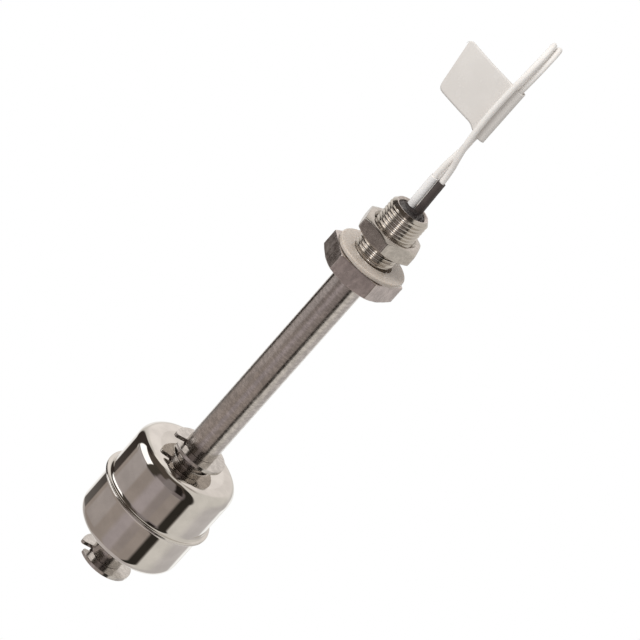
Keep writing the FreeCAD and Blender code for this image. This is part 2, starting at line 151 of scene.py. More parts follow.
def mixColour(tree, factor, first, second, blend="MIX"):
    node = tree.nodes.new("ShaderNodeMix")
    node.data_type = "RGBA"
    node.blend_type = blend
    colourSockets = [socket for socket in node.inputs if socket.type == "RGBA"]
    for socket, value in zip([node.inputs[0]] + colourSockets, (factor, first, second)):
        if isinstance(value, (int, float)):
            socket.default_value = value
        elif isinstance(value, tuple):
            socket.default_value = (*value, 1)
        else:
            tree.links.new(value, socket)
    return [socket for socket in node.outputs if socket.type == "RGBA"][0]


# leads: the free stretch of each, from inside its sleeve to the end of its insulation

leadLook = {
    "diameter": 1.4 * mm,
    "whiteLength": 0.2006,
    "blackLength": 0.2013,
    "whiteExit": (-0.00118, 0.00205, 0.0227),
    "blackExit": (0.00086, 0.00205, 0.0227),
    "roundness": 8,        # bevel resolution of the curve
    "steps": 12,           # between two points of the route
}

whiteLeadRoute = [
    (-0.00116, 0.00204, 0.0217),
    (-0.00124, 0.00208, 0.0255),
    (-0.00062, 0.00290, 0.0305),
    (-0.00035, 0.00266, 0.0352),
    (0.00000, 0.00256, 0.0406),
    (0.00038, 0.00262, 0.0468),
    (0.00080, 0.00245, 0.0538),
    (0.00100, 0.00740, 0.0590),
    (0.00090, 0.01480, 0.0590),
    (0.00050, 0.02000, 0.0538),
    (0.00000, 0.02010, 0.0440),
    (-0.00045, 0.01990, 0.0300),
    (-0.00050, 0.02005, 0.0130),
    (-0.00020, 0.01980, -0.0050),
    (-0.00010, 0.01995, -0.0250),
    (-0.00030, 0.01970, -0.0450),
    (-0.00010, 0.01985, -0.0630),
    (-0.00020, 0.01960, -0.0800),
    (-0.00015, 0.01970, -0.0940),
]
blackLeadRoute = [
    (0.00089, 0.00204, 0.0217),
    (0.00076, 0.00208, 0.0255),
    (-0.00025, 0.00108, 0.0305),
    (-0.00092, 0.00082, 0.0355),
    (-0.00120, 0.00086, 0.0413),
    (-0.00112, 0.00098, 0.0476),
    (-0.00075, 0.00120, 0.0546),
    (-0.00055, 0.00610, 0.0595),
    (-0.00060, 0.01310, 0.0595),
    (-0.00060, 0.01800, 0.0546),
    (-0.00050, 0.01810, 0.0450),
    (-0.00040, 0.01795, 0.0310),
    (-0.00050, 0.01815, 0.0140),
    (-0.00020, 0.01790, -0.0040),
    (-0.00015, 0.01805, -0.0240),
    (-0.00025, 0.01785, -0.0440),
    (-0.00010, 0.01795, -0.0620),
    (-0.00015, 0.01770, -0.0790),
    (-0.00020, 0.01780, -0.0940),
]


def makeLead(name, route, radius):
    data = bpy.data.curves.new(name, "CURVE")
    data.dimensions = "3D"
    data.bevel_depth = radius
    data.bevel_resolution = leadLook["roundness"]
    data.use_fill_caps = True
    data.resolution_u = leadLook["steps"]
    spline = data.splines.new("NURBS")
    spline.points.add(len(route) - 1)
    for point, place in zip(spline.points, route):
        point.co = (*place, 1)
    spline.order_u = 3
    spline.use_endpoint_u = True
    lead = bpy.data.objects.new(name, data)
    scene.collection.objects.link(lead)
    return lead


whiteLead = makeLead("whiteLead", whiteLeadRoute, leadLook["diameter"] / 2)
blackLead = makeLead("blackLead", blackLeadRoute, leadLook["diameter"] / 2)
print("leads laid")


# helpers for meshes

weldDistance = 1e-7        # points nearer than this are one
seamDistance = 2e-6        # and this where two meshes meet
roundShare = 0.29          # how far in a rounded edge's middle lies, as a share of its radius


def addPiece(name, points, faces, sharpAngle=35):
    data = bpy.data.meshes.new(name)
    data.from_pydata([tuple(p) for p in points], [], faces)
    clean = bmesh.new()
    clean.from_mesh(data)
    bmesh.ops.remove_doubles(clean, verts=clean.verts, dist=weldDistance)
    bmesh.ops.recalc_face_normals(clean, faces=clean.faces)
    clean.to_mesh(data)
    clean.free()
    data.shade_smooth()
    data.set_sharp_from_angle(angle=math.radians(sharpAngle))
    piece = bpy.data.objects.new(name, data)
    scene.collection.objects.link(piece)
    return piece


# an outline of (radius, height, fillet) corners as points, each fillet as an arc
def roundOutline(corners, steps):
    points = []
    for i, (radius, height, fillet) in enumerate(corners):
        here = Vector((radius, height))
        if fillet == 0:
            points.append(here)
            continue
        back = (Vector(corners[i - 1][:2]) - here).normalized()
        ahead = (Vector(corners[(i + 1) % len(corners)][:2]) - here).normalized()
        half = back.angle(ahead) / 2
        setback = fillet / math.tan(half)
        centre = here + (back + ahead).normalized() * (fillet / math.sin(half))
        start = here + back * setback - centre
        turn = math.pi - 2 * half
        if back.x * ahead.y - back.y * ahead.x > 0:
            turn = -turn
        for k in range(steps + 1):
            angle = turn * k / steps
            points.append(centre + Vector((start.x * math.cos(angle) - start.y * math.sin(angle),
                                           start.x * math.sin(angle) + start.y * math.cos(angle))))
    return points


# rings of points about Z joined by quads; a ring is (radius, height), and either may be one value
# per column; a radius of 0 closes the surface at a pole
def ringFaces(rings, columns, closed):
    turns = np.arange(columns) * 2 * math.pi / columns
    points = []
    starts = []
    for radius, height in rings:
        starts.append(len(points))
        if np.ndim(radius) == 0 and radius == 0:
            points.append((0, 0, float(height)))
            continue
        radii = np.broadcast_to(radius, (columns,))
        heights = np.broadcast_to(height, (columns,))
        points.extend(zip(radii * np.cos(turns), radii * np.sin(turns), heights))
    sizes = [b - a for a, b in zip(starts, starts[1:] + [len(points)])]
    faces = []
    pairs = list(zip(range(len(rings)), range(1, len(rings))))
    if closed:
        pairs.append((len(rings) - 1, 0))
    for one, two in pairs:
        for c in range(columns):
            n = (c + 1) % columns
            a, b = starts[one], starts[two]
            if sizes[one] == 1:
                faces.append((a, b + n, b + c))
            elif sizes[two] == 1:
                faces.append((a + c, a + n, b))
            else:
                faces.append((a + c, a + n, b + n, b + c))
    return points, faces


def latheOf(name, corners, columns, steps, closed):
    rings = [(p.x, p.y) for p in roundOutline(corners, steps)]
    return addPiece(name, *ringFaces(rings, columns, closed))


# radius of a hex at each column, from its six flats; a higher corner power gives sharper corners
def hexRadii(acrossFlats, cornerTurn, columns, cornerPower):
    turns = np.arange(columns) * 2 * math.pi / columns
    total = np.zeros(columns)
    for k in range(6):
        flat = math.radians(cornerTurn + 30 + 60 * k)
        total += np.clip(np.cos(turns - flat), 0, None) ** cornerPower
    return acrossFlats / 2 / total ** (1 / cornerPower)


# how a hex's chamfer rounds onto its flats, as (inset, lift) in edge radii
chamferSteps = [(0.25, 0.15), (0, 1), (0, 2.5)]


def chamferRings(hexagon, start, edgeHeight, edge):
    rounded = [(hexagon - edge * inset, edgeHeight + edge * lift) for inset, lift in chamferSteps]
    return [(hexagon - edge, start)] + rounded


# what the evaluated object looks like, as a plain mesh with no modifier left
def bakeShape(piece):
    view = bpy.context.evaluated_depsgraph_get()
    view.update()
    done = bpy.data.meshes.new_from_object(piece.evaluated_get(view))
    piece.modifiers.clear()
    piece.data = done
    return piece


def joinInto(piece, *others):
    whole = bmesh.new()
    for each in (piece, *others):
        whole.from_mesh(each.data)
    bmesh.ops.remove_doubles(whole, verts=whole.verts, dist=seamDistance)
    bmesh.ops.recalc_face_normals(whole, faces=whole.faces)
    whole.to_mesh(piece.data)
    whole.free()
    for each in others:
        bpy.data.objects.remove(each)


def fitPiece(piece, body, slot, *nodes):
    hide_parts(*nodes)
    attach(piece, body)


# a piece's sizes, given in mm, as metres
def inMetres(look):
    return SimpleNamespace(**{name: value * mm for name, value in look.items()})


# helpers for geometry node trees

def startTree(name, inputs):
    tree = bpy.data.node_groups.new(name, "GeometryNodeTree")
    tree.interface.new_socket("Geometry", in_out="INPUT", socket_type="NodeSocketGeometry")
    for label, kind in inputs:
        tree.interface.new_socket(label, in_out="INPUT", socket_type=kind)
    tree.interface.new_socket("Geometry", in_out="OUTPUT", socket_type="NodeSocketGeometry")
    return tree, tree.nodes.new("NodeGroupInput").outputs


def finishTree(tree, geometry, material):
    realize = tree.nodes.new("GeometryNodeRealizeInstances")
    paint = tree.nodes.new("GeometryNodeSetMaterial")
    end = tree.nodes.new("NodeGroupOutput")
    tree.links.new(geometry, realize.inputs[0])
    tree.links.new(realize.outputs[0], paint.inputs["Geometry"])
    tree.links.new(material, paint.inputs["Material"])
    tree.links.new(paint.outputs[0], end.inputs[0])


def runTree(name, tree, settings):
    piece = bpy.data.objects.new(name, bpy.data.meshes.new(name))
    scene.collection.objects.link(piece)
    modifier = piece.modifiers.new("tree", "NODES")
    modifier.node_group = tree
    for item in tree.interface.items_tree:
        if item.in_out == "INPUT" and item.name in settings:
            modifier[item.identifier] = settings[item.name]
    return bakeShape(piece)


# finishes

# a bumped, slightly uneven steel: grain is the size of its marks in mm, and a smaller number in stretch
# draws them out longer along that axis
steelLooks = {
    "floatShell": {"colour": (0.76, 0.73, 0.695), "rough": 0.045, "roughSpread": 0.03, "grain": 7.0,
                   "stretch": (1, 1, 1), "bump": 0.02, "fleck": 0.0, "stain": 0.0, "scratch": 0.0},
    "stemTube": {"colour": (0.70, 0.66, 0.63), "rough": 0.22, "roughSpread": 0.12, "grain": 0.4,
                 "stretch": (0.5, 0.5, 1), "bump": 0.25, "fleck": 0.3, "stain": 0.2, "scratch": 0.2},
    "turnedSteel": {"colour": (0.69, 0.63, 0.60), "rough": 0.31, "roughSpread": 0.14, "grain": 0.8,
                    "stretch": (1, 1, 0.6), "bump": 0.15, "fleck": 0.2, "stain": 0.16, "scratch": 0.5},
    "nutSteel": {"colour": (0.63, 0.59, 0.55), "rough": 0.25, "roughSpread": 0.14, "grain": 0.7,
                 "stretch": (1, 1, 1), "bump": 0.1, "fleck": 0.25, "stain": 0.12, "scratch": 0.2},
    "threadSteel": {"colour": (0.64, 0.60, 0.555), "rough": 0.17, "roughSpread": 0.04, "grain": 1.2,
                    "stretch": (0.3, 0.3, 1), "bump": 0.01, "fleck": 0.0, "stain": 0.05, "scratch": 0.0},
    "clipSteel": {"colour": (0.68, 0.65, 0.62), "rough": 0.13, "roughSpread": 0.1, "grain": 0.6,
                  "stretch": (1, 1, 1), "bump": 0.08, "fleck": 0.2, "stain": 0.15, "scratch": 0.2},
    "tinnedWire": {"colour": (0.72, 0.71, 0.69), "rough": 0.3, "roughSpread": 0.15, "grain": 0.2,
                   "stretch": (1, 1, 1), "bump": 0.1, "fleck": 0.1, "stain": 0.1, "scratch": 0.0},
}


def newMaterial(name):
    material = bpy.data.materials.new(name)
    material.use_nodes = True
    tree = material.node_tree
    shader = tree.nodes["Principled BSDF"]
    place = tree.nodes.new("ShaderNodeTexCoord").outputs["Object"]
    return material, tree, shader, place


def noiseOf(tree, place, size, detail=4.0, stretch=(1, 1, 1), rough=0.55):
    mapping = tree.nodes.new("ShaderNodeMapping")
    mapping.inputs["Scale"].default_value = stretch
    tree.links.new(place, mapping.inputs["Vector"])
    cloud = tree.nodes.new("ShaderNodeTexNoise")
    cloud.inputs["Scale"].default_value = 1 / (size * mm)
    cloud.inputs["Detail"].default_value = detail
    cloud.inputs["Roughness"].default_value = rough
    tree.links.new(mapping.outputs[0], cloud.inputs["Vector"])
    return cloud.outputs["Fac"]


def bumpOf(tree, shader, height, strength, distance):
    bump = tree.nodes.new("ShaderNodeBump")
    bump.inputs["Strength"].default_value = strength
    bump.inputs["Distance"].default_value = distance
    tree.links.new(height, bump.inputs["Height"])
    tree.links.new(bump.outputs[0], shader.inputs["Normal"])


# a span gives the two values of a noise between which a ramp runs; sizes are in mm
broadSpan = (0.3, 0.7)
steelMix = {
    "grainDetail": 5,
    "patchSize": 4.0,
    "patchDetail": 3,
    "grainShare": 0.65,                 # of the grain in the roughness, the rest is patches
    "roughSpan": (0.35, 0.65),
    "smoothest": 0.02,
    "dark": 0.88,                       # shade of the patches
    "bright": 1.35,                     # shade of flecks and scratches
    "brightest": 0.95,
    "stainSize": 1.6,                   # times the grain
    "stainDetail": 6,
    "stainRough": 0.7,
    "stainSpan": (0.4, 0.64),
    "stainLift": 0.6,                   # how much a stain's clear side brightens
    "fleckSpan": (0.6, 0.72),
    "scratchSize": 0.5,
    "scratchDetail": 3,
    "scratchStretch": (1, 1, 0.13),
    "scratchTurn": (38, -24, 15),       # degrees
    "scratchSpan": (0.6, 0.7),
    "bumpDepth": 0.05,
}


# thin marks that run one way across the grain
def scratchesOf(tree, place):
    mapping = tree.nodes.new("ShaderNodeMapping")
    mapping.inputs["Rotation"].default_value = [math.radians(turn) for turn in steelMix["scratchTurn"]]
    tree.links.new(place, mapping.inputs["Vector"])
    marks = noiseOf(tree, mapping.outputs[0], steelMix["scratchSize"], steelMix["scratchDetail"],
                    steelMix["scratchStretch"])
    return rampNode(tree, marks, *steelMix["scratchSpan"])


def steelMaterial(name, look):
    material, tree, shader, place = newMaterial(name)
    shader.inputs["Metallic"].default_value = 1
    grain = noiseOf(tree, place, look["grain"], steelMix["grainDetail"], look["stretch"])
    patches = noiseOf(tree, place, steelMix["patchSize"], steelMix["patchDetail"])
    mixed = mathNode(tree, "ADD", mathNode(tree, "MULTIPLY", grain, steelMix["grainShare"]),
                     mathNode(tree, "MULTIPLY", patches, 1 - steelMix["grainShare"]))
    low = max(look["rough"] - look["roughSpread"] / 2, steelMix["smoothest"])
    rough = rampNode(tree, mixed, *steelMix["roughSpan"], low, look["rough"] + look["roughSpread"] / 2)
    tree.links.new(rough, shader.inputs["Roughness"])
    dark = tuple(c * steelMix["dark"] for c in look["colour"])
    bright = tuple(min(c * steelMix["bright"], steelMix["brightest"]) for c in look["colour"])
    shade = mixColour(tree, rampNode(tree, patches, *broadSpan), dark, look["colour"])
    if look["stain"]:
        spots = noiseOf(tree, place, look["grain"] * steelMix["stainSize"], steelMix["stainDetail"],
                        look["stretch"], steelMix["stainRough"])
        depth = rampNode(tree, spots, *steelMix["stainSpan"], 1 - look["stain"],
                         1 + look["stain"] * steelMix["stainLift"])
        shade = mixColour(tree, 1.0, shade, depth, "MULTIPLY")
    if look["fleck"]:
        flecks = rampNode(tree, grain, *steelMix["fleckSpan"], 0, look["fleck"])
        shade = mixColour(tree, flecks, shade, bright)
    if look["scratch"]:
        marks = mathNode(tree, "MULTIPLY", scratchesOf(tree, place), look["scratch"])
        shade = mixColour(tree, marks, shade, bright)
    tree.links.new(shade, shader.inputs["Base Color"])
    bumpOf(tree, shader, grain, look["bump"], steelMix["bumpDepth"] * mm)
    return material


steel = {name: steelMaterial(name, look) for name, look in steelLooks.items()}

# size is that of the marks in mm, soft the share of light that goes into the plastic
plasticLooks = {
    "whiteInsulation": {
        "colour": (0.89, 0.855, 0.82), "shade": (0.84, 0.80, 0.76),
        "rough": 0.42, "size": 2.5, "bump": 0.03, "soft": 0.08},
    "whiteSleeving": {
        "colour": (0.95, 0.93, 0.91), "shade": (0.92, 0.89, 0.87),
        "rough": 0.38, "size": 2.0, "bump": 0.02, "soft": 0.1},
    "blackSleeving": {
        "colour": (0.088, 0.070, 0.064), "shade": (0.062, 0.050, 0.046),
        "rough": 0.4, "size": 1.2, "bump": 0.2, "soft": 0.0},
    "labelFilm": {
        "colour": (0.79, 0.75, 0.71), "shade": (0.74, 0.70, 0.66),
        "rough": 0.22, "size": 6.0, "bump": 0.03, "soft": 0.05},
    "sealRing": {
        "colour": (0.60, 0.53, 0.465), "shade": (0.53, 0.465, 0.405),
        "rough": 0.26, "size": 2.5, "bump": 0.015, "soft": 0.4},
    "potting": {
        "colour": (0.040, 0.032, 0.030), "shade": (0.012, 0.010, 0.010),
        "rough": 0.24, "size": 0.8, "bump": 0.6, "soft": 0.0},
    "reedSleeving": {
        "colour": (0.70, 0.69, 0.66), "shade": (0.60, 0.59, 0.56),
        "rough": 0.5, "size": 0.7, "bump": 0.1, "soft": 0.1},
    "spacerPlastic": {
        "colour": (0.78, 0.78, 0.75), "shade": (0.68, 0.68, 0.65),
        "rough": 0.4, "size": 1.0, "bump": 0.05, "soft": 0.1},
    "ferrite": {
        "colour": (0.055, 0.055, 0.06), "shade": (0.03, 0.03, 0.034),
        "rough": 0.6, "size": 0.25, "bump": 0.4, "soft": 0.0},
}
plasticMix = {
    "cloudSize": 2.5,                   # times the marks
    "cloudDetail": 3,
    "fineSize": 0.35,
    "fineDetail": 4,
    "roughLess": 0.06,
    "roughMore": 0.08,
    "softDepth": 0.8,
    "softColour": (1, 0.9, 0.8),
    "bumpDepth": 0.04,
}


def plasticMaterial(name, look):
    material, tree, shader, place = newMaterial(name)
    cloud = noiseOf(tree, place, look["size"] * plasticMix["cloudSize"], plasticMix["cloudDetail"])
    fine = noiseOf(tree, place, look["size"] * plasticMix["fineSize"], plasticMix["fineDetail"])
    shade = mixColour(tree, rampNode(tree, cloud, *broadSpan), look["shade"], look["colour"])
    tree.links.new(shade, shader.inputs["Base Color"])
    rough = rampNode(tree, fine, *broadSpan, look["rough"] - plasticMix["roughLess"],
                     look["rough"] + plasticMix["roughMore"])
    tree.links.new(rough, shader.inputs["Roughness"])
    if look["soft"]:
        shader.inputs["Subsurface Weight"].default_value = look["soft"]
        shader.inputs["Subsurface Radius"].default_value = plasticMix["softColour"]
        shader.inputs["Subsurface Scale"].default_value = plasticMix["softDepth"] * mm
    bumpOf(tree, shader, fine, look["bump"], plasticMix["bumpDepth"] * mm)
    return material


plastic = {name: plasticMaterial(name, look) for name, look in plasticLooks.items()}


glassLook = {"colour": (0.80, 0.92, 0.86), "clear": 0.9, "size": 1.0, "rough": (0.02, 0.08)}


def glassMaterial(look):
    material, tree, shader, place = newMaterial("reedGlass")
    shader.inputs["Base Color"].default_value = (*look["colour"], 1)
    shader.inputs["Transmission Weight"].default_value = look["clear"]
    rough = rampNode(tree, noiseOf(tree, place, look["size"]), *broadSpan, *look["rough"])
    tree.links.new(rough, shader.inputs["Roughness"])
    return material


reedGlass = glassMaterial(glassLook)
print("finishes mixed")


# fitting: hex flange, bore and stem socket in one skin; the neck's thread is a skin of its own, so that it
# can have lamps of its own

fittingSizes = {
    "acrossFlats": 17.0,
    "faceRadius": 8.3725,      # flat ring on the underside
    "edge": 0.12,              # softness of the edges
    "topEdge": 0.2,
    "crest": 4.975,            # thread, over the crests
    "threadDepth": 0.46,
    "pitch": 0.92,
    "core": 4.1,               # inside of the thread's skin
    "relief": 4.7,             # neck where it passes the sealing ring
    "reliefHeight": 2.0,
    "runOut": 0.5,             # from the relief to the full thread
    "rim": 4.175,
    "leadIn": 0.95,
    "bore": 3.5,
    "mouth": 3.85,
    "mouthEdge": 0.04,
    "mouthDepth": 0.35,
    "mouthSupport": 0.3,       # extra ring under the mouth
    "socket": 4.0,
    "support": 0.5,            # extra ring inside an edge
    "hair": 0.01,              # keeps two close rings apart
}
crestFlat = 0.17               # width of the flat crest, as a share of the pitch
threadRows = 12
flangeCornerPower = 150
fittingSharpAngle = 42
chamferSlope = math.tan(math.radians(24))
hexColumns = 288


# one strip of thread wound up the neck, a crest in the middle of its width, cut flat at both ends
def threadTree():
    tree, given = startTree("neckThread", [
        ("Columns", "NodeSocketInt"), ("Rows", "NodeSocketInt"), ("Turns", "NodeSocketInt"),
        ("Low", "NodeSocketFloat"), ("High", "NodeSocketFloat"), ("Pitch", "NodeSocketFloat"),
        ("Crest Radius", "NodeSocketFloat"), ("Depth", "NodeSocketFloat"),
        ("Crest Flat", "NodeSocketFloat"), ("Relief Radius", "NodeSocketFloat"),
        ("Relief Height", "NodeSocketFloat"), ("Run Out", "NodeSocketFloat"),
        ("Rim Radius", "NodeSocketFloat"), ("Lead In", "NodeSocketFloat"),
        ("Material", "NodeSocketMaterial")])
    grid = tree.nodes.new("GeometryNodeMeshGrid")
    grid.inputs["Size X"].default_value = 1
    grid.inputs["Size Y"].default_value = 1
    count = mathNode(tree, "MULTIPLY_ADD", given["Columns"], given["Turns"], 1.0)
    tree.links.new(count, grid.inputs["Vertices X"])
    tree.links.new(mathNode(tree, "ADD", given["Rows"], 1.0), grid.inputs["Vertices Y"])
    split = tree.nodes.new("ShaderNodeSeparateXYZ")
    tree.links.new(tree.nodes.new("GeometryNodeInputPosition").outputs[0], split.inputs[0])
    share = mathNode(tree, "ADD", split.outputs["X"], 0.5)
    wound = mathNode(tree, "MULTIPLY", share, given["Turns"])
    turn = mathNode(tree, "MULTIPLY", wound, 2 * math.pi)
    across = mathNode(tree, "SUBTRACT", split.outputs["Y"], 0.5)
    climb = mathNode(tree, "MULTIPLY_ADD", mathNode(tree, "ADD", wound, across), given["Pitch"], given["Low"])
    height = mathNode(tree, "MINIMUM", mathNode(tree, "MAXIMUM", climb, given["Low"]), given["High"])
    fromCrest = mathNode(tree, "MULTIPLY", mathNode(tree, "ABSOLUTE", split.outputs["Y"]), 2.0)
    flank = rampNode(tree, fromCrest, given["Crest Flat"], 1.0, smooth=False)
    cut = mathNode(tree, "MULTIPLY", flank, given["Depth"])
    radius = mathNode(tree, "SUBTRACT", given["Crest Radius"], cut)
    reliefEnd = mathNode(tree, "ADD", given["Low"], given["Relief Height"])
    started = rampNode(tree, height, mathNode(tree, "SUBTRACT", reliefEnd, given["Run Out"]), reliefEnd)
    radius = rampNode(tree, started, 0, 1, given["Relief Radius"], radius, smooth=False)
    leadDrop = mathNode(tree, "SUBTRACT", given["Crest Radius"], given["Rim Radius"])
    leadSlope = mathNode(tree, "DIVIDE", leadDrop, given["Lead In"])
    belowRim = mathNode(tree, "SUBTRACT", given["High"], height)
    cone = mathNode(tree, "MULTIPLY_ADD", belowRim, leadSlope, given["Rim Radius"])
    radius = mathNode(tree, "MINIMUM", radius, cone)
    place = tree.nodes.new("ShaderNodeCombineXYZ")
    tree.links.new(mathNode(tree, "MULTIPLY", radius, mathNode(tree, "COSINE", turn)), place.inputs["X"])
    tree.links.new(mathNode(tree, "MULTIPLY", radius, mathNode(tree, "SINE", turn)), place.inputs["Y"])
    tree.links.new(height, place.inputs["Z"])
    move = tree.nodes.new("GeometryNodeSetPosition")
    tree.links.new(grid.outputs["Mesh"], move.inputs["Geometry"])
    tree.links.new(place.outputs[0], move.inputs["Position"])
    finishTree(tree, move.outputs[0], given["Material"])
    return tree


def makeThread():
    size = inMetres(fittingSizes)
    strip = runTree("threadStrip", threadTree(), {
        "Columns": hexColumns, "Rows": threadRows,
        "Turns": math.ceil((neckRim - flangeTop) / size.pitch) + 1, "Low": flangeTop, "High": neckRim,
        "Pitch": size.pitch, "Crest Radius": size.crest, "Depth": size.threadDepth, "Crest Flat": crestFlat,
        "Relief Radius": size.relief, "Relief Height": size.reliefHeight, "Run Out": size.runOut,
        "Rim Radius": size.rim, "Lead In": size.leadIn, "Material": steel["threadSteel"]})
    inside = [
        (size.rim, neckRim),
        (size.core, neckRim - size.hair),
        (size.core, flangeTop - size.hair),
        (size.relief, flangeTop),
    ]
    thread = addPiece("neckThread", *ringFaces(inside, hexColumns, False))
    thread.data.materials.append(steel["threadSteel"])
    joinInto(thread, strip)
    thread.data.shade_smooth()
    thread.data.set_sharp_from_angle(angle=math.radians(fittingSharpAngle))
    return thread


def makeFitting():
    size = inMetres(fittingSizes)
    hexagon = hexRadii(size.acrossFlats, 0, hexColumns, flangeCornerPower)
    chamferEdge = flangeUnder + (hexagon - size.faceRadius) * chamferSlope
    chamferStart = np.maximum(chamferEdge - size.edge * chamferSlope, flangeUnder + size.hair)
    rings = [
        (size.rim, neckRim),
        (size.mouth + size.mouthEdge, neckRim),
        (size.mouth, neckRim - size.mouthEdge / 2),
        (size.bore, neckRim - size.mouthDepth),
        (size.bore, neckRim - size.mouthDepth - size.mouthSupport),
        (size.bore, stemTop),
        (size.socket, stemTop),
        (size.socket, flangeUnder),
        (size.faceRadius - size.support, flangeUnder),
        (size.faceRadius - size.edge, flangeUnder),
        (size.faceRadius + size.edge, flangeUnder + size.edge * chamferSlope),
        *chamferRings(hexagon, chamferStart, chamferEdge, size.edge),
        (hexagon, flangeTop - 2 * size.topEdge),
        (hexagon, flangeTop - size.topEdge),
        (hexagon - size.topEdge * roundShare, flangeTop - size.topEdge * roundShare),
        (hexagon - size.topEdge, flangeTop),
        (hexagon - 3 * size.topEdge, flangeTop),
        (size.relief, flangeTop),
        (size.core, flangeTop),
        (size.core, neckRim - 2 * size.hair),
    ]
    piece = addPiece("fitting", *ringFaces(rings, hexColumns, True), fittingSharpAngle)
    piece.data.materials.append(steel["turnedSteel"])
    return piece


fitting = makeFitting()
neckThread = makeThread()
fitPiece(fitting, "switch_body", "turned_steel", "fitting_body")
fitPiece(neckThread, "switch_body", "turned_steel", "fitting_body")
print("fitting turned")


# lock nut

nutSizes = {
    "acrossFlats": 13.8,
    "faceRadius": 6.555,       # flat ring on each face
    "edge": 0.12,
    "bore": 5.025,
    "countersink": 0.7,
    "support": 0.4,
    "hair": 0.01,
}
nutCornerTurn = 35.5           # degrees
nutCornerPower = 130
nutSlope = math.tan(math.radians(30))


def makeNut():
    size = inMetres(nutSizes)
    low, high = lowOf("lock_nut"), highOf("lock_nut")
    hexagon = hexRadii(size.acrossFlats, nutCornerTurn, hexColumns, nutCornerPower)
    drop = (hexagon - size.faceRadius) * nutSlope
    chamferStart = np.maximum(low + drop - size.edge * nutSlope, low + size.hair)
    lowerHalf = [
        (size.bore, low + size.countersink),
        (size.bore + size.countersink, low),
        (size.faceRadius - size.support, low),
        (size.faceRadius - size.edge, low),
        (size.faceRadius + size.edge, low + size.edge * nutSlope),
        *chamferRings(hexagon, chamferStart, low + drop, size.edge),
    ]
    upperHalf = [(radius, low + high - height) for radius, height in reversed(lowerHalf)]
    return addPiece("lockNut", *ringFaces(lowerHalf + upperHalf, hexColumns, True))


lockNut = makeNut()
lockNut.data.materials.append(steel["nutSteel"])
fitPiece(lockNut, "lock_nut", "turned_steel", "lock_nut")
print("nut made")


# sealing ring: loose on the neck, so it lies a little to one side

sealSizes = {"outer": 8.75, "hole": 5.05, "edge": 0.34, "holeEdge": 0.12, "shift": 0.33}
sealEdgeSteps = 6
roundColumns = 160


def makeSeal():
    size = inMetres(sealSizes)
    corners = [(size.hole, flangeTop, size.holeEdge), (size.outer, flangeTop, size.edge),
               (size.outer, sealTop, size.edge), (size.hole, sealTop, size.holeEdge)]
    seal = latheOf("sealingRing", corners, roundColumns, sealEdgeSteps, True)
    seal.data.transform(Matrix.Translation((size.shift, 0, 0)))
    return seal


sealingRing = makeSeal()
sealingRing.data.materials.append(plastic["sealRing"])
fitPiece(sealingRing, "switch_body", "seal_ring", "sealing_ring")


# stem: tube with two clip grooves, and the plug welded into its closed end

stemSizes = {
    "radius": 4.0,
    "bore": 3.0,
    "groove": 0.4,
    "grooveEdge": 0.06,
    "play": 0.05,              # of a clip in its groove
    "endEdge": 0.32,
    "plugEdge": 0.12,
}
stemEdgeSteps = 4


def makeStem():
    size = inMetres(stemSizes)
    plugTop = highOf("stem_end_plug")
    corners = [(0, plugTop, 0), (size.bore, plugTop, 0), (size.bore, stemTop, 0), (size.radius, stemTop, 0)]
    for clip in ("upper_retaining_clip", "lower_retaining_clip"):
        high, low = highOf(clip) + size.play, lowOf(clip) - size.play
        corners += [(size.radius, high, size.grooveEdge), (size.radius - size.groove, high, 0),
                    (size.radius - size.groove, low, 0), (size.radius, low, size.grooveEdge)]
    corners += [(size.radius, stemEnd, size.endEdge), (size.bore + size.plugEdge, stemEnd, 0),
                (size.bore, stemEnd + size.plugEdge, 0), (size.bore - size.plugEdge, stemEnd, 0),
                (0, stemEnd, 0)]
    return latheOf("stem", corners, roundColumns, stemEdgeSteps, False)


stem = makeStem()
stem.data.materials.append(steel["stemTube"])
fitPiece(stem, "switch_body", "stem_steel", "stem_tube", "stem_end_plug")
print("stem made")


# retaining clips: spring steel with an open side and round tips

clipSizes = {"outer": 6.9, "inner": 3.63, "halfSlot": 1.25, "tip": 0.7, "edge": 0.09}
clipSlotTurn = 207.0           # degrees
clipSteps = {"outer": 96, "inner": 64, "tip": 10}
plateSharpAngle = 30


def arcPoints(centreX, centreY, radius, start, end, count):
    return [(centreX + radius * math.cos(start + (end - start) * k / count),
             centreY + radius * math.sin(start + (end - start) * k / count)) for k in range(count + 1)]


# a soft edge from a plate's face to its wall, as (inset, lift) in edge radii, with short flats beside it
edgeSteps = [(1.7, 0), (1, 0), (0.62, 0.08), (roundShare, roundShare), (0.08, 0.62), (0, 1), (0, 1.6)]


# a flat plate with soft edges: the outline drawn in by each inset
def plateOf(name, outline, low, high, edge):
    flat = np.array(outline)
    along = np.roll(flat, -1, axis=0) - np.roll(flat, 1, axis=0)
    along /= np.linalg.norm(along, axis=1)[:, None]
    inward = np.stack((-along[:, 1], along[:, 0]), axis=1)
    levels = [(edge * inset, low + edge * lift) for inset, lift in edgeSteps]
    levels += [(edge * inset, high - edge * lift) for inset, lift in reversed(edgeSteps)]
    count = len(outline)
    points = [(x, y, z) for inset, z in levels for x, y in flat + inward * inset]
    faces = [tuple(reversed(range(count))), tuple(range(len(points) - count, len(points)))]
    for level in range(len(levels) - 1):
        for k in range(count):
            n = (k + 1) % count
            one, two = level * count, (level + 1) * count
            faces.append((one + k, one + n, two + n, two + k))
    return addPiece(name, points, faces, plateSharpAngle)


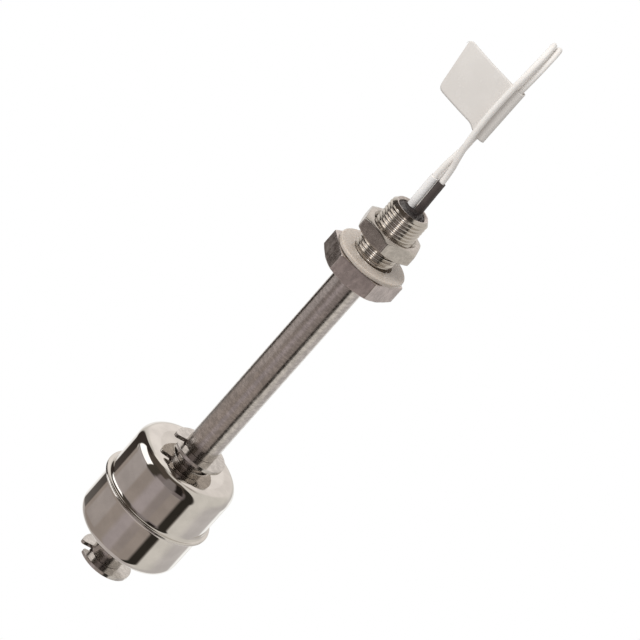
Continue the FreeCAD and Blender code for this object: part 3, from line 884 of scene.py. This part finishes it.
def makeClip(name, node):
    size = inMetres(clipSizes)
    tipY = size.halfSlot + size.tip
    tipX = math.sqrt((size.outer - size.tip) ** 2 - tipY ** 2)
    tipEnd = math.atan2(tipY, tipX)
    innerEnd = math.asin(size.halfSlot / size.inner)
    outline = arcPoints(0, 0, size.outer, tipEnd, 2 * math.pi - tipEnd, clipSteps["outer"])
    outline += arcPoints(tipX, -tipY, size.tip, -tipEnd, math.pi / 2, clipSteps["tip"])[1:]
    outline += arcPoints(0, 0, size.inner, 2 * math.pi - innerEnd, innerEnd, clipSteps["inner"])
    outline += arcPoints(tipX, tipY, size.tip, -math.pi / 2, tipEnd, clipSteps["tip"])[:-1]
    turn = Matrix.Rotation(math.radians(clipSlotTurn), 2)
    clip = plateOf(name, [tuple(turn @ Vector(p)) for p in outline], lowOf(node), highOf(node), size.edge)
    clip.data.materials.append(steel["clipSteel"])
    fitPiece(clip, "switch_body", "spring_steel", node)


makeClip("upperClip", "upper_retaining_clip")
makeClip("lowerClip", "lower_retaining_clip")
print("clips made")


# float: two drawn cups seamed at mid-height on a tube, polished

floatSizes = {
    "radius": 13.3,
    "round": 3.1,
    "lip": 1.2,                # how far the seam stands out
    "lipHalf": 0.4,
    "lipFillet": 0.9,
    "seamLine": 0.05,          # groove where the two rims meet
    "tube": 5.05,
    "bore": 4.75,
    "boreEdge": 0.12,
    "weld": 0.1,               # bead between tube and cup
    "weldSink": 0.07,          # its middle lies this far under the face
    "support": 0.3,            # extra ring each side of a bend
}
floatSteps = {"weld": 6, "round": 40, "fillet": 14, "lip": 10}
floatColumns = 240
floatSharpAngle = 50


# an arc of rings round (radius, height), from one angle to another in degrees
def arcRings(radius, height, reach, start, end, count):
    turns = [math.radians(start + (end - start) * k / count) for k in range(count + 1)]
    return [(radius + reach * math.cos(turn), height + reach * math.sin(turn)) for turn in turns]


def makeFloat():
    size = inMetres(floatSizes)
    half = floatTop - floatMiddle
    roundAt = size.radius - size.round
    filletAt = size.lipHalf + size.lipFillet
    upper = [(size.bore, half - size.boreEdge), (size.bore + size.boreEdge, half)]
    upper += arcRings(size.tube, half - size.weldSink, size.weld, 150, 20, floatSteps["weld"])
    upper += [(size.tube + size.weld + size.support, half), (roundAt - size.support, half)]
    upper += arcRings(roundAt, half - size.round, size.round, 90, 0, floatSteps["round"])
    upper += [(size.radius, half - size.round - size.support), (size.radius, filletAt + size.support)]
    upper += arcRings(size.radius + size.lipFillet, filletAt, size.lipFillet, 180, 270, floatSteps["fillet"])
    upper += arcRings(size.radius + size.lip - size.lipHalf, 0, size.lipHalf, 80, 12, floatSteps["lip"])
    middle = [(size.radius + size.lip - size.seamLine, 0)]
    lower = [(radius, -height) for radius, height in reversed(upper)]
    inner = [(size.bore, 0)]
    rings = [(radius, floatMiddle + height) for radius, height in upper + middle + lower + inner]
    return addPiece("floatShell", *ringFaces(rings, floatColumns, True), floatSharpAngle)


floatShell = makeFloat()
floatShell.data.materials.append(steel["floatShell"])
fitPiece(floatShell, "float", "polished_steel", "float_upper_shell", "float_lower_shell", "float_tube")
print("float made")


# sleeves on the leads, each leaning a little, with an uneven cut

sleeveSizes = {
    "outer": 1.0,
    "bore": 0.75,
    "depth": 4.5,              # under the neck's rim
    "height": 8.4,             # over it
    "edge": 0.07,
    "unevenCut": 0.16,
    "swell": 0.03,             # how far its wall wanders to each side
    "endIn": 0.02,             # how far inside the outer radius its cut end is
}
sleeveColumns = 48
sleeveRings = 24
sleeveMouthEdge = 0.6          # edge inside the mouth, as a share of the outer one
swellScale = 900               # swells to the metre, along the sleeve
cutScale = 1.3                 # how quickly the cut wanders round the sleeve
sleeveAxes = {
    "whiteSleeve": ((-1.0, 1.95), (-1.18, 2.05)),      # at the neck's rim and at the mouth
    "blackSleeve": ((1.15, 1.95), (0.86, 2.05)),
}


def makeSleeve(name, node, finish, slotName, seed):
    size = inMetres(sleeveSizes)
    foot = Vector((sleeveAxes[name][0][0] * mm, sleeveAxes[name][0][1] * mm, neckRim))
    mouth = Vector((sleeveAxes[name][1][0] * mm, sleeveAxes[name][1][1] * mm, neckRim + size.height))
    turns = np.arange(sleeveColumns) * 2 * math.pi / sleeveColumns
    cut = size.unevenCut * np.array([
        noise.noise((cutScale * math.cos(t), cutScale * math.sin(t), seed)) for t in turns])
    cut -= cut.max()
    rings = [
        (size.bore, -size.depth),
        (size.outer - size.edge, -size.depth),
        (size.outer, -size.depth + size.edge),
    ]
    for k in range(1, sleeveRings):
        height = -size.depth + (size.height + size.depth) * k / sleeveRings
        swell = np.array([
            noise.noise((math.cos(t), math.sin(t), seed + height * swellScale)) for t in turns])
        rings.append((size.outer - size.swell + size.swell * swell, height))
    rings += [
        (size.outer - size.endIn, size.height - size.edge + cut),
        (size.outer - size.edge, size.height + cut),
        (size.bore + size.edge * sleeveMouthEdge, size.height + cut),
        (size.bore, size.height - size.edge + cut),
    ]
    points, faces = ringFaces(rings, sleeveColumns, True)
    axis = (mouth - foot).normalized()
    place = Matrix.Translation(foot) @ axis.to_track_quat("Z", "Y").to_matrix().to_4x4()
    sleeve = addPiece(name, [place @ Vector(p) for p in points], faces)
    sleeve.data.materials.append(finish)
    fitPiece(sleeve, "switch_body", slotName, node)


makeSleeve("whiteSleeve", "white_sleeve", plastic["whiteSleeving"], "white_sleeving", 3.1)
makeSleeve("blackSleeve", "black_sleeve", plastic["blackSleeving"], "black_sleeving", 8.4)


# sealant cast in the neck, drawn up round the sleeves

sealantSizes = {
    "radius": 3.48,
    "below": 0.6,              # under the neck's rim
    "depth": 11.5,
    "heap": 0.5,               # rise against a sleeve
    "spread": 0.9,             # width of that rise
    "lump": 0.4,
    "calmEdge": 0.3,           # lumps fade over this width at the wall
    "headroom": 0.12,          # always left under the rim
}
sealantColumns = 96
sealantRings = 32
lumpScale = 700                # lumps to the metre
lumpSeed = 2.7
lumpShape = (0.9, 2.1, 3)      # how detail fades, how much finer each step is, and how many steps
lumpAtWall = 0.35              # share of a lump left at the wall


def makeSealant():
    size = inMetres(sealantSizes)
    turns = np.arange(sealantColumns) * 2 * math.pi / sealantColumns
    feet = [axis[0] for axis in sleeveAxes.values()]
    rings = [(0, neckRim - size.below)]
    for k in range(1, sealantRings + 1):
        radius = size.radius * k / sealantRings
        heights = []
        for t in turns:
            x, y = radius * math.cos(t), radius * math.sin(t)
            height = neckRim - size.below
            for foot in feet:
                away = math.hypot(x - foot[0] * mm, y - foot[1] * mm) - sleeveSizes["outer"] * mm
                height += size.heap * max(0, 1 - max(away, 0) / size.spread) ** 2
            lump = noise.fractal((x * lumpScale, y * lumpScale, lumpSeed), *lumpShape)
            height += size.lump * lump * min(1, (size.radius - radius) / size.calmEdge + lumpAtWall)
            heights.append(min(height, neckRim - size.headroom))
        rings.append((radius, np.array(heights)))
    rings += [(size.radius, neckRim - size.depth), (0, neckRim - size.depth)]
    return addPiece("neckSealant", *ringFaces(rings, sealantColumns, False))


neckSealant = makeSealant()
neckSealant.data.materials.append(plastic["potting"])
fitPiece(neckSealant, "switch_body", "potting", "neck_sealant")
print("sleeves and sealant made")


# flag label: one strip folded round the lead, its two ends stuck together

labelSizes = {
    "ply": 0.15,               # one ply, of the flag's two
    "loopLeft": -0.35,         # centres of the loop's two round ends
    "loopRight": 0.85,
    "loopBack": 2.6,
    "loopRadius": 0.895,       # to the middle of the ply
    "low": 35.6,
    "high": 49.7,
    "reach": 15.0,
    "slant": 1.6,
    "corner": 1.4,
    "rise": 1.2,               # flag's lower edge over the loop's
    "lean": 4.6,
    "bow": 0.5,
    "neck": 3.75,              # where the lower edge starts to drop
    "least": 0.02,             # least height of the strip anywhere
}
flagSteps = 44
flagCrowding = 1.7             # more steps near the free end
loopSteps = 18
loopEndSteps = 8
loopOpening = 0.08             # half turns left open where the flag joins
labelRows = 28
plyShare = 0.96                # of a ply, so that the two plies don't touch
slantStart = 0.9               # foot of the slanted end over the lower edge, in corner radii


def labelEdges(size, x):
    far = -size.reach
    low = size.low
    lowCorner = far + size.slant
    if x < -size.neck:
        low = size.low + size.rise
    elif x < size.loopLeft:
        share = (x + size.neck) / (size.loopLeft + size.neck)
        low = size.low + size.rise * (1 - share * share * (3 - 2 * share))
    high = size.high
    if x < far + size.corner:
        high -= size.corner - math.sqrt(max(size.corner ** 2 - (far + size.corner - x) ** 2, 0))
    slope = (size.high - size.low - size.rise) / size.slant
    if x < lowCorner + size.corner:
        inset = min(max(lowCorner + size.corner - x, 0), size.corner)
        low += size.corner - math.sqrt(size.corner ** 2 - inset ** 2)
        if x < lowCorner:
            low = max(low, size.low + size.rise + size.corner * slantStart + slope * (lowCorner - x))
    return min(low, high - size.least), high


def makeLabel():
    size = inMetres(labelSizes)
    start = Vector((size.loopLeft - size.loopRadius, size.loopBack))
    end = Vector((-size.reach, size.loopBack + size.lean))
    bowed = (start + end) / 2 - Vector((0, size.bow))
    flag = []
    for k in range(flagSteps + 1):
        share = 1 - (k / flagSteps) ** flagCrowding
        middle = bowed * 2 - (start + end) / 2
        flag.append(start * (1 - share) ** 2 + middle * 2 * share * (1 - share) + end * share ** 2)
    gap = Vector((0, size.ply / 2))
    front = [p - gap for p in flag]
    back = [p + gap for p in reversed(flag)]
    left, right = Vector((size.loopLeft, size.loopBack)), Vector((size.loopRight, size.loopBack))
    loop = []
    for centre, first, last, steps in (
            (left, 1 + loopOpening, 1.5, loopEndSteps),
            (right, -0.5, 0.5, loopSteps),
            (left, 0.5, 1 - loopOpening, loopEndSteps)):
        arc = arcPoints(0, 0, 1, first * math.pi, last * math.pi, steps)
        loop += [centre + Vector(p) * size.loopRadius for p in arc]
    path = front[:-2] + loop + back[2:]
    points = []
    for p in path:
        low, high = labelEdges(size, p.x)
        points += [(p.x, p.y, low + (high - low) * row / labelRows) for row in range(labelRows + 1)]
    faces = []
    for column in range(len(path) - 1):
        for row in range(labelRows):
            corner = column * (labelRows + 1) + row
            faces.append((corner, corner + labelRows + 1, corner + labelRows + 2, corner + 1))
    label = addPiece("flagLabel", points, faces, 180)
    wall = label.modifiers.new("ply", "SOLIDIFY")
    wall.thickness = size.ply * plyShare
    wall.offset = 0
    bakeShape(label)
    label.data.materials.append(plastic["labelFilm"])
    return label


flagLabel = makeLabel()
fitPiece(flagLabel, "switch_body", "label_film", "flag_label")
print("label folded")


# bare ends of the leads: seven tinned strands twisted together

tipSizes = {
    "strandRadius": 0.135,
    "twistRadius": 0.262,
    "length": 6.0,
    "inside": 0.6,             # stretch that starts in the insulation
    "lay": 7.0,                # length of one whole turn
}
outerStrands = 6
strandSteps = 28
strandSides = 10
tipSharpAngle = 40


def strandTree():
    tree, given = startTree("twistedStrands", [
        ("Outer Strands", "NodeSocketInt"), ("Steps", "NodeSocketInt"), ("Sides", "NodeSocketInt"),
        ("Length", "NodeSocketFloat"), ("Lay", "NodeSocketFloat"), ("Twist Radius", "NodeSocketFloat"),
        ("Strand Radius", "NodeSocketFloat"), ("Material", "NodeSocketMaterial")])
    line = tree.nodes.new("GeometryNodeCurvePrimitiveLine")
    resample = tree.nodes.new("GeometryNodeResampleCurve")
    tree.links.new(given["Steps"], resample.inputs["Count"])
    copies = tree.nodes.new("GeometryNodeDuplicateElements")
    copies.domain = "SPLINE"
    tree.links.new(mathNode(tree, "ADD", given["Outer Strands"], 1.0), copies.inputs["Amount"])
    tree.links.new(line.outputs[0], resample.inputs["Curve"])
    tree.links.new(resample.outputs[0], copies.inputs["Geometry"])
    along = tree.nodes.new("ShaderNodeSeparateXYZ")
    tree.links.new(tree.nodes.new("GeometryNodeInputPosition").outputs[0], along.inputs[0])
    height = mathNode(tree, "MULTIPLY", along.outputs["Z"], given["Length"])
    which = copies.outputs["Duplicate Index"]
    outer = mathNode(tree, "GREATER_THAN", which, 0.5)
    around = mathNode(tree, "DIVIDE", which, given["Outer Strands"])
    twist = mathNode(tree, "DIVIDE", height, given["Lay"])
    turn = mathNode(tree, "MULTIPLY", mathNode(tree, "ADD", around, twist), 2 * math.pi)
    radius = mathNode(tree, "MULTIPLY", outer, given["Twist Radius"])
    place = tree.nodes.new("ShaderNodeCombineXYZ")
    tree.links.new(mathNode(tree, "MULTIPLY", radius, mathNode(tree, "COSINE", turn)), place.inputs["X"])
    tree.links.new(mathNode(tree, "MULTIPLY", radius, mathNode(tree, "SINE", turn)), place.inputs["Y"])
    tree.links.new(height, place.inputs["Z"])
    move = tree.nodes.new("GeometryNodeSetPosition")
    tree.links.new(copies.outputs["Geometry"], move.inputs["Geometry"])
    tree.links.new(place.outputs[0], move.inputs["Position"])
    section = tree.nodes.new("GeometryNodeCurvePrimitiveCircle")
    tree.links.new(given["Sides"], section.inputs["Resolution"])
    tree.links.new(given["Strand Radius"], section.inputs["Radius"])
    tube = tree.nodes.new("GeometryNodeCurveToMesh")
    tube.inputs["Fill Caps"].default_value = True
    tree.links.new(move.outputs[0], tube.inputs["Curve"])
    tree.links.new(section.outputs["Curve"], tube.inputs["Profile Curve"])
    finishTree(tree, tube.outputs[0], given["Material"])
    return tree


def makeTip(name, node, route, tree):
    size = inMetres(tipSizes)
    end, before = Vector(route[-1]), Vector(route[-2])
    tip = runTree(name, tree, {
        "Outer Strands": outerStrands, "Steps": strandSteps, "Sides": strandSides,
        "Length": size.length + size.inside, "Lay": size.lay, "Twist Radius": size.twistRadius,
        "Strand Radius": size.strandRadius, "Material": steel["tinnedWire"]})
    run = (end - before).normalized()
    start = end - run * size.inside
    tip.data.transform(Matrix.Translation(start) @ run.to_track_quat("Z", "Y").to_matrix().to_4x4())
    tip.data.shade_smooth()
    tip.data.set_sharp_from_angle(angle=math.radians(tipSharpAngle))
    fitPiece(tip, "switch_body", "tinned_copper", node)
    return tip


strands = strandTree()
whiteTip = makeTip("whiteTip", "white_lead_tip", whiteLeadRoute, strands)
blackTip = makeTip("blackTip", "black_lead_tip", blackLeadRoute, strands)
print("tips twisted")


# the leads' finish, each lead taking its part's place on the switch body

for lead, node in ((whiteLead, "white_lead"), (blackLead, "black_lead")):
    lead.data.materials.append(plastic["whiteInsulation"])
    fitPiece(lead, "switch_body", "white_insulation", node)


# what is inside keeps its own shape and gets its finish here

insideFinishes = {
    "float_magnet": plastic["ferrite"],
    "magnet_spacer": plastic["spacerPlastic"],
    "reed_glass": reedGlass,
    "reed_upper_blade": steel["clipSteel"],
    "reed_lower_blade": steel["clipSteel"],
    "reed_sleeve": plastic["reedSleeving"],
    "reed_return_link": steel["tinnedWire"],
    "reed_resin": plastic["potting"],
    "white_inner_lead": plastic["whiteInsulation"],
    "black_inner_lead": plastic["whiteInsulation"],
}
for node, finish in insideFinishes.items():
    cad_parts[node].material_slots[0].material = finish
print("inside finished")


# studio: plain soft light, white for the eye, and the room that polished steel shows

studioLook = {
    "plain": (0.57, 0.565, 0.56),      # what lights the surfaces from all round
    "reflected": (0.74, 0.71, 0.66),   # the open room as steel shows it
    "floorDrop": 0.35,
    "floorHalf": 6.0,
    "floorColour": (0.86, 0.86, 0.86),
    "floorRough": 0.7,
    "lampPower": 7.5,
    "lampSize": 0.6,
    "lampPlace": (-0.55, -0.5, 0.75),
}
# cards in the room, in degrees, each over those before it: azimuth is 0 towards the camera's side and grows
# to +X, soft is half the width of its edge, and lean slants a card with height
studioCards = [
    {"colour": (0.58, 0.53, 0.51), "azimuth": (-190, 190), "height": (-99, -62), "soft": 6},
    {"colour": (0.50, 0.47, 0.45), "azimuth": (-150, -112), "height": (-62, -29), "soft": 6},
    {"colour": (0.365, 0.314, 0.283), "azimuth": (-118, 58), "height": (-66, -26), "soft": 3},
    {"colour": (0.22, 0.187, 0.182), "azimuth": (-108, 57), "height": (-27, 60), "soft": 3},
    {"colour": (0.09, 0.072, 0.058), "azimuth": (-122, 57), "height": (31, 79), "soft": 5},
    {"colour": (0.043, 0.033, 0.028), "azimuth": (-138, -105), "height": (-31, 50), "soft": 3, "lean": 0.35},
    {"colour": (0.46, 0.42, 0.41), "azimuth": (-104, -58), "height": (-30, -9), "soft": 4},
    {"colour": (0.065, 0.055, 0.044), "azimuth": (-60, -28), "height": (-19, 45), "soft": 4},
    {"colour": (0.42, 0.37, 0.37), "azimuth": (-30, -3), "height": (-66, -7), "soft": 7},
    {"colour": (0.31, 0.27, 0.26), "azimuth": (-4, 14), "height": (-30, -8), "soft": 4},
    {"colour": (0.02, 0.016, 0.014), "azimuth": (14, 33), "height": (2, 60), "soft": 4},
    {"colour": (0.032, 0.028, 0.023), "azimuth": (37, 58), "height": (-66, 62), "soft": 4},
    {"colour": (0.25, 0.22, 0.215), "azimuth": (-12, 13), "height": (-9, 58), "soft": 4},
    {"colour": (1.6, 1.58, 1.55), "azimuth": (-106, -57), "height": (-6, 30), "soft": 2, "lean": 0.1},
    {"colour": (0.60, 0.57, 0.555), "azimuth": (92, 160), "height": (-62, 6), "soft": 14},
    {"colour": (1.1, 1.1, 1.08), "azimuth": (145, 166), "height": (-60, -8), "soft": 5},
    {"colour": (0.98, 0.96, 0.94), "azimuth": (-183, -150), "height": (-52, 0), "soft": 5},
    {"colour": (0.98, 0.93, 0.89), "azimuth": (-190, -142), "height": (8, 68), "soft": 8},
    {"colour": (1.05, 1.0, 0.93), "azimuth": (-148, -112), "height": (57, 71), "soft": 4},
    {"colour": (0.40, 0.36, 0.33), "azimuth": (112, 158), "height": (64, 78), "soft": 5},
    {"colour": (0.88, 0.83, 0.79), "azimuth": (150, 190), "height": (5, 80), "soft": 10},
]


def windowOf(tree, value, low, high, soft):
    rise = rampNode(tree, value, low - soft, low + soft)
    return mathNode(tree, "MULTIPLY", rise, rampNode(tree, value, high - soft, high + soft, 1, 0))


def makeWorld(look, cards):
    world = bpy.data.worlds.new("studio")
    world.use_nodes = True
    scene.world = world
    tree = world.node_tree
    background = tree.nodes["Background"]
    split = tree.nodes.new("ShaderNodeSeparateXYZ")
    tree.links.new(tree.nodes.new("ShaderNodeTexCoord").outputs["Generated"], split.inputs[0])
    x, y, z = split.outputs
    around = mathNode(tree, "DEGREES", mathNode(tree, "ARCTAN2", x, mathNode(tree, "MULTIPLY", y, -1)))
    height = mathNode(tree, "DEGREES", mathNode(tree, "ARCSINE", z))
    shown = look["reflected"]
    for card in cards:
        slanted = mathNode(tree, "SUBTRACT", around, mathNode(tree, "MULTIPLY", height, card.get("lean", 0)))
        inside = mathNode(tree, "MULTIPLY", windowOf(tree, slanted, *card["azimuth"], card["soft"]),
                          windowOf(tree, height, *card["height"], card["soft"]))
        shown = mixColour(tree, inside, shown, card["colour"])
    path = tree.nodes.new("ShaderNodeLightPath")
    seen = mathNode(tree, "MAXIMUM", path.outputs["Is Camera Ray"], path.outputs["Is Transmission Ray"])
    lit = mixColour(tree, path.outputs["Is Glossy Ray"], look["plain"], shown)
    tree.links.new(mixColour(tree, seen, lit, (1.0, 1.0, 1.0)), background.inputs["Color"])


def makeFloor(look):
    level = cadBox[0][2] - look["floorDrop"]
    half = look["floorHalf"]
    corners = [(-half, -half, level), (half, -half, level), (half, half, level), (-half, half, level)]
    data = bpy.data.meshes.new("floor")
    data.from_pydata(corners, [], [(0, 1, 2, 3)])
    floor = bpy.data.objects.new("floor", data)
    scene.collection.objects.link(floor)
    material, tree, shader, place = newMaterial("paleFloor")
    shader.inputs["Base Color"].default_value = (*look["floorColour"], 1)
    shader.inputs["Roughness"].default_value = look["floorRough"]
    glow = tree.nodes.new("ShaderNodeEmission")
    mixing = tree.nodes.new("ShaderNodeMixShader")
    tree.links.new(tree.nodes.new("ShaderNodeLightPath").outputs["Is Camera Ray"], mixing.inputs[0])
    tree.links.new(shader.outputs[0], mixing.inputs[1])
    tree.links.new(glow.outputs[0], mixing.inputs[2])
    tree.links.new(mixing.outputs[0], tree.nodes["Material Output"].inputs["Surface"])
    data.materials.append(material)
    floor.visible_glossy = False
    floor.visible_diffuse = False


def makeLamp(look):
    data = bpy.data.lights.new("softLamp", "AREA")
    data.energy = look["lampPower"]
    data.size = look["lampSize"]
    lamp = bpy.data.objects.new("softLamp", data)
    lamp.location = look["lampPlace"]
    lamp.rotation_euler = (-Vector(look["lampPlace"])).to_track_quat("-Z", "Y").to_euler()
    lamp.visible_glossy = False
    lamp.visible_camera = False
    scene.collection.objects.link(lamp)


# lamps near the neck that shine on its thread alone: two narrow ones for bright strips, a wide one to lift
# the grooves; turn is 0 towards the camera's side, sizes are in metres
threadLamps = [
    {"turn": 0, "wide": 0.013, "tall": 0.15, "power": 0.017},
    {"turn": -56, "wide": 0.028, "tall": 0.13, "power": 0.016},
    {"turn": -2, "wide": 0.17, "tall": 0.15, "power": 0.017},
]
threadLampAway = 0.08
threadLampHeight = -0.012


def makeThreadLamp(look, shone):
    data = bpy.data.lights.new("threadLamp", "AREA")
    data.shape = "RECTANGLE"
    data.size = look["wide"]
    data.size_y = look["tall"]
    data.energy = look["power"]
    turn = math.radians(look["turn"])
    lamp = bpy.data.objects.new("threadLamp", data)
    toward = Vector((math.sin(turn), -math.cos(turn), 0))
    lamp.location = toward * threadLampAway + Vector((0, 0, threadLampHeight))
    lamp.rotation_euler = (-toward).to_track_quat("-Z", "Y").to_euler()
    lamp.visible_camera = False
    scene.collection.objects.link(lamp)
    lamp.light_linking.receiver_collection = shone


threadOnly = bpy.data.collections.new("threadOnly")
threadOnly.objects.link(neckThread)
makeWorld(studioLook, studioCards)
makeFloor(studioLook)
makeLamp(studioLook)
for lampLook in threadLamps:
    makeThreadLamp(lampLook, threadOnly)
print("studio lit")
